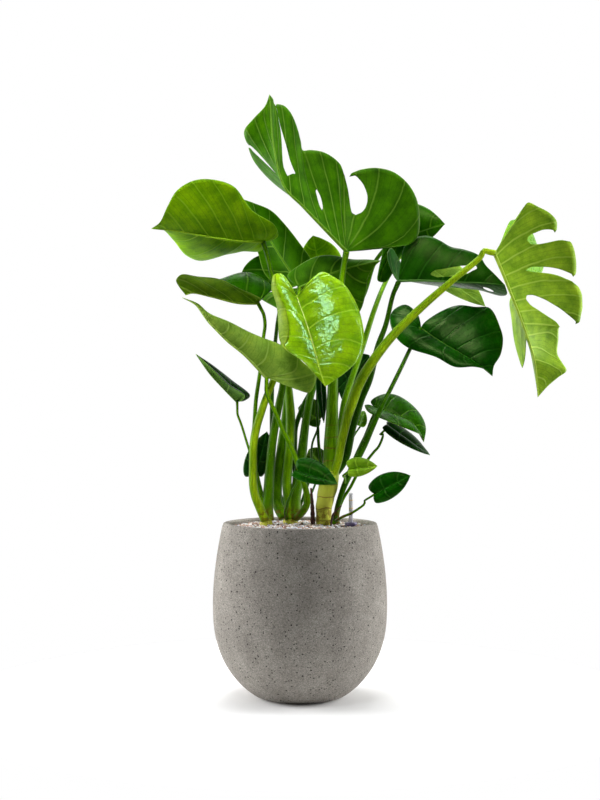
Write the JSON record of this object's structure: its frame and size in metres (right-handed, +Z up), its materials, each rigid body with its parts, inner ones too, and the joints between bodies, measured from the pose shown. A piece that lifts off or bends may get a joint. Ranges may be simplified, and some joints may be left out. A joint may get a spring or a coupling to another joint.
{
  "type": "potted monstera plant",
  "caption": "Leafy climbing plant with split and heart-shaped leaves on long stalks, in a round bellied concrete planter with granules and a water gauge.",
  "frame": {"origin": "centre of the pot's flat base, on the surface that it stands on", "axes": "+Z up along the pot's axis, +X to the right and +Y away from the side that faces the viewer"},
  "size_m": [0.8532, 0.3654, 1.1925],
  "materials": {
    "concrete": "matte fibre concrete, fine sandy grain with small pits",
    "granules": "matte loose mineral granules",
    "gauge_plastic": "dark moulded plastic",
    "gauge_clear": "clear moulded plastic",
    "gauge_indicator": "red moulded plastic",
    "root": "dry dark root bark",
    "stalk": "smooth fresh green stalk",
    "leaf_young": "glossy lime-green young leaf",
    "leaf_bright": "satin light green leaf",
    "leaf_mid": "satin mid-green leaf",
    "leaf_dark": "glossy dark green leaf"
  },
  "bodies": {
    "root": {"pot": "concrete", "substrate": "granules", "gauge_casing": "gauge_plastic", "gauge_tube": "gauge_clear", "gauge_rod": "gauge_indicator", "leaf_crown_split": "leaf_mid", "leaf_left_round": "leaf_mid", "leaf_left_back": "leaf_mid", "leaf_crown_back": "leaf_bright", "leaf_left_folded": "leaf_bright", "leaf_left_dark": "leaf_dark", "leaf_middle_wide": "leaf_mid", "leaf_front_young": "leaf_young", "leaf_left_long": "leaf_mid", "leaf_left_small": "leaf_dark", "leaf_low_left": "leaf_dark", "leaf_right_split": "leaf_bright", "leaf_right_dark_split": "leaf_dark", "leaf_right_glossy": "leaf_dark", "leaf_crown_right": "leaf_mid", "leaf_right_back": "leaf_bright", "leaf_low_right_curved": "leaf_mid", "leaf_low_right_narrow": "leaf_dark", "leaf_low_right_round": "leaf_bright", "leaf_rim_right": "leaf_dark", "leaf_rim_front": "leaf_dark", "leaf_inner_right": "leaf_dark", "leaf_inner_left": "leaf_dark", "leaf_inner_hanging": "leaf_dark", "leaf_inner_small": "leaf_dark", "leaf_inner_rolled": "leaf_bright", "shoot_left": "stalk", "shoot_middle": "stalk", "shoot_main": "stalk", "shoot_right": "stalk", "aerial_root_right": "root", "aerial_root_back": "root"}
  },
  "joints": []
}
